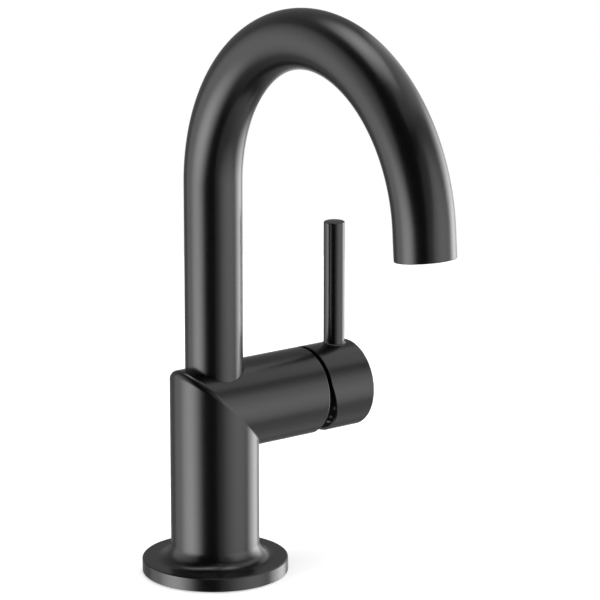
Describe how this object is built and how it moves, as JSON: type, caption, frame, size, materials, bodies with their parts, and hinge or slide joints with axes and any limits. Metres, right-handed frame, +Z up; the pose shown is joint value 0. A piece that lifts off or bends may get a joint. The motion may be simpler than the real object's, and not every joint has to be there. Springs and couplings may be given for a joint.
{
  "type": "single lever basin faucet",
  "caption": "Deck-mounted basin faucet with a tall arched spout, round column on a flanged foot, and a side barrel that carries a hub with a slim upright lever.",
  "frame": {"origin": "centre of the foot flange on the deck surface", "axes": "+Z up along the column, -Y towards the user, where the spout reaches, +X along the side barrel to the handle hub"},
  "size_m": [0.106, 0.1895, 0.3212],
  "materials": {
    "satin_black": "satin matte black coating on brass and zinc",
    "bare_brass": "machined, uncoated",
    "zinc_steel": "zinc plated",
    "bright_steel": "turned stainless",
    "black_steel": "black oxide",
    "seal_rubber": "matte black seal rubber",
    "grey_plastic": "moulded grey",
    "pale_plastic": "moulded off-white",
    "black_plastic": "moulded black",
    "disc_ceramic": "lapped alumina"
  },
  "bodies": {
    "body": {"column": "satin_black", "barrel": "satin_black", "base_gasket": "seal_rubber", "inlet_block": "bare_brass", "port_seals": "seal_rubber", "mounting_stud": "zinc_steel", "spout_tube": "satin_black", "spout_shank": "bare_brass", "spout_o_rings": "seal_rubber", "spout_set_screw": "black_steel", "outlet_insert": "bare_brass", "aerator_housing": "grey_plastic", "aerator_screen": "grey_plastic", "flow_regulator": "pale_plastic", "aerator_seal": "seal_rubber", "cartridge_base": "pale_plastic", "seat_seals": "seal_rubber", "fixed_disc": "disc_ceramic", "cartridge_shell": "pale_plastic", "limit_ring": "pale_plastic", "clamp_nut": "bare_brass", "bonnet_cover": "satin_black"},
    "rotor": {"stem_rotor": "grey_plastic", "pivot_pin": "bright_steel"},
    "handle": {"stem": "bright_steel", "handle_hub": "satin_black", "lever_rod": "satin_black", "hub_set_screw": "black_steel", "hub_plug": "black_plastic"},
    "valve_disc": {"moving_disc": "disc_ceramic", "disc_carrier": "grey_plastic"},
    "deck_clamp": {"horseshoe_bracket": "zinc_steel", "bracket_pad": "seal_rubber", "stud_washer": "zinc_steel", "mounting_nut": "bare_brass"}
  },
  "joints": [
    {"name": "temperature_turn", "type": "hinge", "parent": "body", "child": "rotor", "pos_m": [0.041, 0, 0.0738], "axis": [1, 0, 0], "range_deg": [-45, 45]},
    {"name": "flow_tilt", "type": "hinge", "parent": "rotor", "child": "handle", "pos_m": [0.041, 0, 0.0738], "axis": [0, 1, 0], "range_deg": [0, 18]},
    {"name": "disc_slide", "type": "slide", "parent": "rotor", "child": "valve_disc", "axis": [0, 0, 1], "range_m": [0, 0.0028]},
    {"name": "clamp_slide", "type": "slide", "parent": "body", "child": "deck_clamp", "axis": [0, 0, 1], "range_m": [0, 0.026]}
  ],
  "couplings": [
    {"joint": "disc_slide", "follows": "flow_tilt", "m_per_rad": 0.00856}
  ]
}
